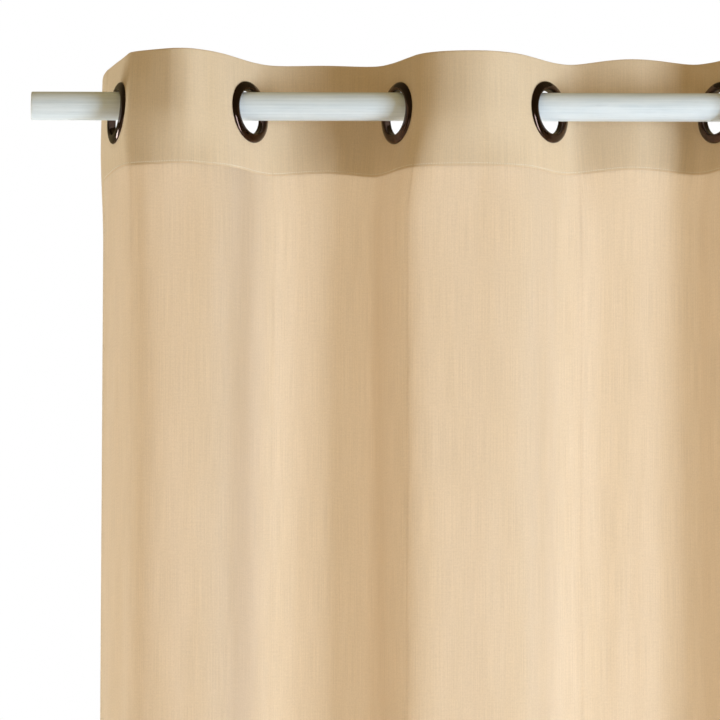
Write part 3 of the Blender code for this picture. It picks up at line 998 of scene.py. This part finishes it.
def pole_rings():
    """(x, radius) of each ring, from the left end's middle to the right end's."""
    left, right = pole_low[0], pole_high[0]
    end = [(0.0, 0.25), (0.0, 0.6), (0.0, 0.9)]
    eased = [(EASED * (1 - math.cos(a)), 1 - EASED / POLE_RADIUS * (1 - math.sin(a)))
             for a in np.radians([0, 22.5, 45, 67.5, 90])]
    start = [(left + x, share * POLE_RADIUS) for x, share in end + eased]
    along = [(float(x), POLE_RADIUS) for x in np.arange(left + RING_STEP, right - RING_STEP, RING_STEP)]
    return start + along + [(right + left - x, radius) for x, radius in reversed(start)]


def spin_pole():
    rings, points = pole_rings(), []
    for x, radius in rings:
        for step in range(POLE_AROUND):
            turn = math.tau * step / POLE_AROUND
            y, z = math.cos(turn), math.sin(turn)
            cut = 0.10 * MM * (0.5 + 0.5 * noise.noise(Vector((x / 0.22, y * 5.0, z * 5.0))))
            planed = 0.12 * MM * (0.5 + 0.5 * noise.noise(Vector((x / 0.09, y * 0.8, z * 0.8))))
            reach = radius - (cut + planed) * radius / POLE_RADIUS
            points.append((x, POLE_Y + y * reach, z * reach))
    faces = []
    for ring in range(len(rings) - 1):
        for step in range(POLE_AROUND):
            a, b = ring * POLE_AROUND + step, ring * POLE_AROUND + (step + 1) % POLE_AROUND
            faces.append((a, b, b + POLE_AROUND, a + POLE_AROUND))
    first, last = len(points), len(points) + 1
    points += [(rings[0][0], POLE_Y, 0.0), (rings[-1][0], POLE_Y, 0.0)]
    base = (len(rings) - 1) * POLE_AROUND
    for step in range(POLE_AROUND):
        after = (step + 1) % POLE_AROUND
        faces.append((first, after, step))
        faces.append((last, base + step, base + after))
    mesh = new_mesh("limed_pole", points, faces)
    smooth(mesh)
    shape = bmesh.new()
    shape.from_mesh(mesh)
    bmesh.ops.recalc_face_normals(shape, faces=shape.faces)
    shape.to_mesh(mesh)
    shape.free()
    return put_in_scene("limed_pole", mesh, limed_wood)


limed_pole = spin_pole()
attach(limed_pole, "pole")
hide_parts("pole")
print(f"pole: {1000 * (pole_high[0] - pole_low[0]):.0f} mm long, {2000 * POLE_RADIUS:.0f} mm thick")

# %% [markdown]
#
# The width each drop was cut at is worked out: its share of the panel's width, with the side hem added at
# the two end drops. It is not kept or shown.

# %% Flat sizes
for index, piece in enumerate(drops):
    wide = float(along_cloth[CUTS[index + 1]] - along_cloth[CUTS[index]])
    wide += SIDE_HEM if index in (0, PLEATS - 1) else 0

# %% [markdown]
# ## The brackets
#
# The wall plates, arms, cups and screws are stiff metal pieces whose shapes are already right, so they keep
# them and only get a finish. The brackets are satin white paint, with the faint orange-peel that sprayed
# paint has. The screws are zinc-plated steel: dull, slightly blue, brushed by the machine that made them.


# %% Painted metal and zinc
def painted_material():
    material, tree, shader = new_material("satin_white_paint")
    place = object_place(tree)
    peel = stretched_noise(tree, place, (1.4, 1.4, 1.4), detail=2)
    clouds = stretched_noise(tree, place, (25, 25, 25), detail=4)
    colour = mixed_colour(tree, remap(tree, clouds, 0.3, 0.7), (0.80, 0.81, 0.80), (0.74, 0.75, 0.735))
    worn = add_node(tree, "ShaderNodeNewGeometry").outputs["Pointiness"]
    colour = mixed_colour(tree, remap(tree, worn, 0.56, 0.66, 0, 0.4), colour, (0.62, 0.62, 0.60))
    set_inputs(tree, shader, {
        "Base Color": colour, "Normal": bump(tree, peel, 0.03 * MM, 0.4),
        "Roughness": remap(tree, clouds, 0.3, 0.7, 0.30, 0.42),
    })
    return material


def zinc_material():
    material, tree, shader = new_material("zinc_plated_steel")
    place = object_place(tree)
    spangle = add_node(tree, "ShaderNodeTexVoronoi", {"Vector": place, "Scale": 900.0})
    lines = stretched_noise(tree, place, (0.4, 0.4, 4), detail=3, roughness=0.7)
    shade = maths(tree, "MULTIPLY_ADD", spangle.outputs["Distance"], 0.35, lines)
    colour = mixed_colour(tree, remap(tree, shade, 0.35, 0.95), (0.58, 0.60, 0.63), (0.74, 0.75, 0.76))
    set_inputs(tree, shader, {
        "Base Color": colour, "Normal": bump(tree, lines, 0.02 * MM, 0.4), "Metallic": 1.0,
        "Roughness": remap(tree, lines, 0.3, 0.7, 0.26, 0.42),
    })
    return material


paint, zinc = painted_material(), zinc_material()
for name, node in frame["nodes"].items():
    if name.endswith("screw"):
        finish = zinc
    elif name.endswith(("wall_plate", "arm_and_cup")):
        finish = paint
    else:
        continue
    for material_slot in node.material_slots:
        material_slot.material = finish
    print(name, "gets", finish.name)

# %% [markdown]
# ## Light, floor and camera
#
# Soft studio light shows cloth best: one large light from the right gives each fold a light and a dark side,
# a broad one behind shines through the cloth, two weak ones fill in from the left and from below, and warm
# light from all round stands for what the cloth itself throws about. The camera stands far back with a long
# lens and looks up a little, so the eyelets show as upright ovals.

# %% Floor and surroundings
hem_height = min(float(sheet[:, -1, 2].min()), cad_bounds[0][2])
FLOOR_GAP = 18 * MM
FLOOR_SIZE = 14.0
FLOOR_MIDDLE = 0.5  # metres to the right of the frame's middle
FLOOR_GLOW = 0.5  # for the camera only: it keeps the floor pale and lights nothing
corners = [(x * FLOOR_SIZE / 2 + FLOOR_MIDDLE, y * FLOOR_SIZE / 2, hem_height - FLOOR_GAP)
           for x, y in ((-1, -1), (1, -1), (1, 1), (-1, 1))]
floor_finish, floor_tree, floor_shader = new_material("pale_floor")
floor = put_in_scene("floor", new_mesh("floor", corners, [(0, 1, 2, 3)]), floor_finish)
seen_directly = add_node(floor_tree, "ShaderNodeLightPath").outputs["Is Camera Ray"]
set_inputs(floor_tree, floor_shader, {
    "Base Color": (0.80, 0.79, 0.77), "Roughness": 0.75, "Emission Color": (0.60, 0.70, 0.88),
    "Emission Strength": maths(floor_tree, "MULTIPLY", seen_directly, FLOOR_GLOW),
})

world = bpy.data.worlds.new("studio")
scene.world = world
world.use_nodes = True
world_tree = world.node_tree
AROUND_COLOUR = (1.0, 0.76, 0.38)
AROUND_STRENGTH = 0.41
IN_POLISH = 0.16  # how bright the room around looks in polished metal
path = add_node(world_tree, "ShaderNodeLightPath")
strength = add_node(world_tree, "ShaderNodeMapRange", {
    "Value": path.outputs["Is Glossy Ray"], "To Min": AROUND_STRENGTH, "To Max": IN_POLISH,
})
glow = world_tree.nodes["Background"]
set_inputs(world_tree, glow, {"Color": AROUND_COLOUR, "Strength": strength.outputs["Result"]})
seen = add_node(world_tree, "ShaderNodeBackground", {"Color": (1.0, 1.0, 1.0)})
choose = add_node(world_tree, "ShaderNodeMixShader")
for socket, value in zip(choose.inputs, (path.outputs["Is Camera Ray"], glow.outputs[0], seen.outputs[0])):
    world_tree.links.new(value, socket)
world_tree.links.new(choose.outputs[0], world_tree.nodes["World Output"].inputs["Surface"])
scene.view_settings.view_transform = "Standard"

# %% Lights
AIM = Vector((eyelet_x[0] + 0.45, POLE_Y, -0.6))


def softbox(name, place, width, height, watts, colour):
    light = bpy.data.lights.new(name, "AREA")
    light.shape = "RECTANGLE"
    light.size, light.size_y = width, height
    light.energy = watts
    light.color = colour
    made = bpy.data.objects.new(name, light)
    made.location = place
    made.rotation_euler = (AIM - Vector(place)).to_track_quat("-Z", "Y").to_euler()
    scene.collection.objects.link(made)
    return made


softbox("key_light", (3.0, -2.3, -1.4), 1.0, 3.0, 156, (0.71, 0.83, 0.97))
softbox("left_light", (-2.4, 0.9, -1.1), 0.6, 1.6, 50, (0.88, 0.96, 1.0))
back_light = softbox("back_light", (1.1, 2.3, -0.6), 2.2, 2.6, 110, (1.0, 0.98, 0.95))
back_light.visible_glossy = False  # it is there for the light through the cloth only
softbox("low_light", (-1.1, -2.6, -1.6), 0.5, 0.9, 4, (1.0, 1.0, 1.0))

# %% Camera
LOOK_UP = math.radians(10.0)
CAMERA_AWAY = 8.0
VIEW_WIDTH = 0.696  # metres seen across the picture at the pole
AIM_RIGHT, AIM_DOWN = 0.2355, 0.2500  # metres from the first eyelet to what the camera looks at
SENSOR = 36.0
ROLL = math.radians(0.14)  # the pole falls a hair to the right
target = Vector((eyelet_x[0] + AIM_RIGHT, POLE_Y, -AIM_DOWN))
camera_data = bpy.data.cameras.new("camera")
camera_data.sensor_width = SENSOR
camera_data.lens = SENSOR * CAMERA_AWAY / VIEW_WIDTH
camera_data.clip_end = 100
camera = bpy.data.objects.new("camera", camera_data)
camera.location = target + CAMERA_AWAY * Vector((0, -math.cos(LOOK_UP), -math.sin(LOOK_UP)))
turned_up = Matrix.Rotation(math.pi / 2 + LOOK_UP, 3, "X") @ Matrix.Rotation(ROLL, 3, "Z")
camera.rotation_euler = turned_up.to_euler()
scene.collection.objects.link(camera)
scene.camera = camera
print(f"camera {CAMERA_AWAY} m away, lens {camera_data.lens:.0f} mm")

# %% [markdown]
# ## Measure and finish
#
# The looks must not change the size of the design. The box of the imported model is printed here.

# %% Sizes
print("box before", [[round(v, 4) for v in corner] for corner in cad_bounds])
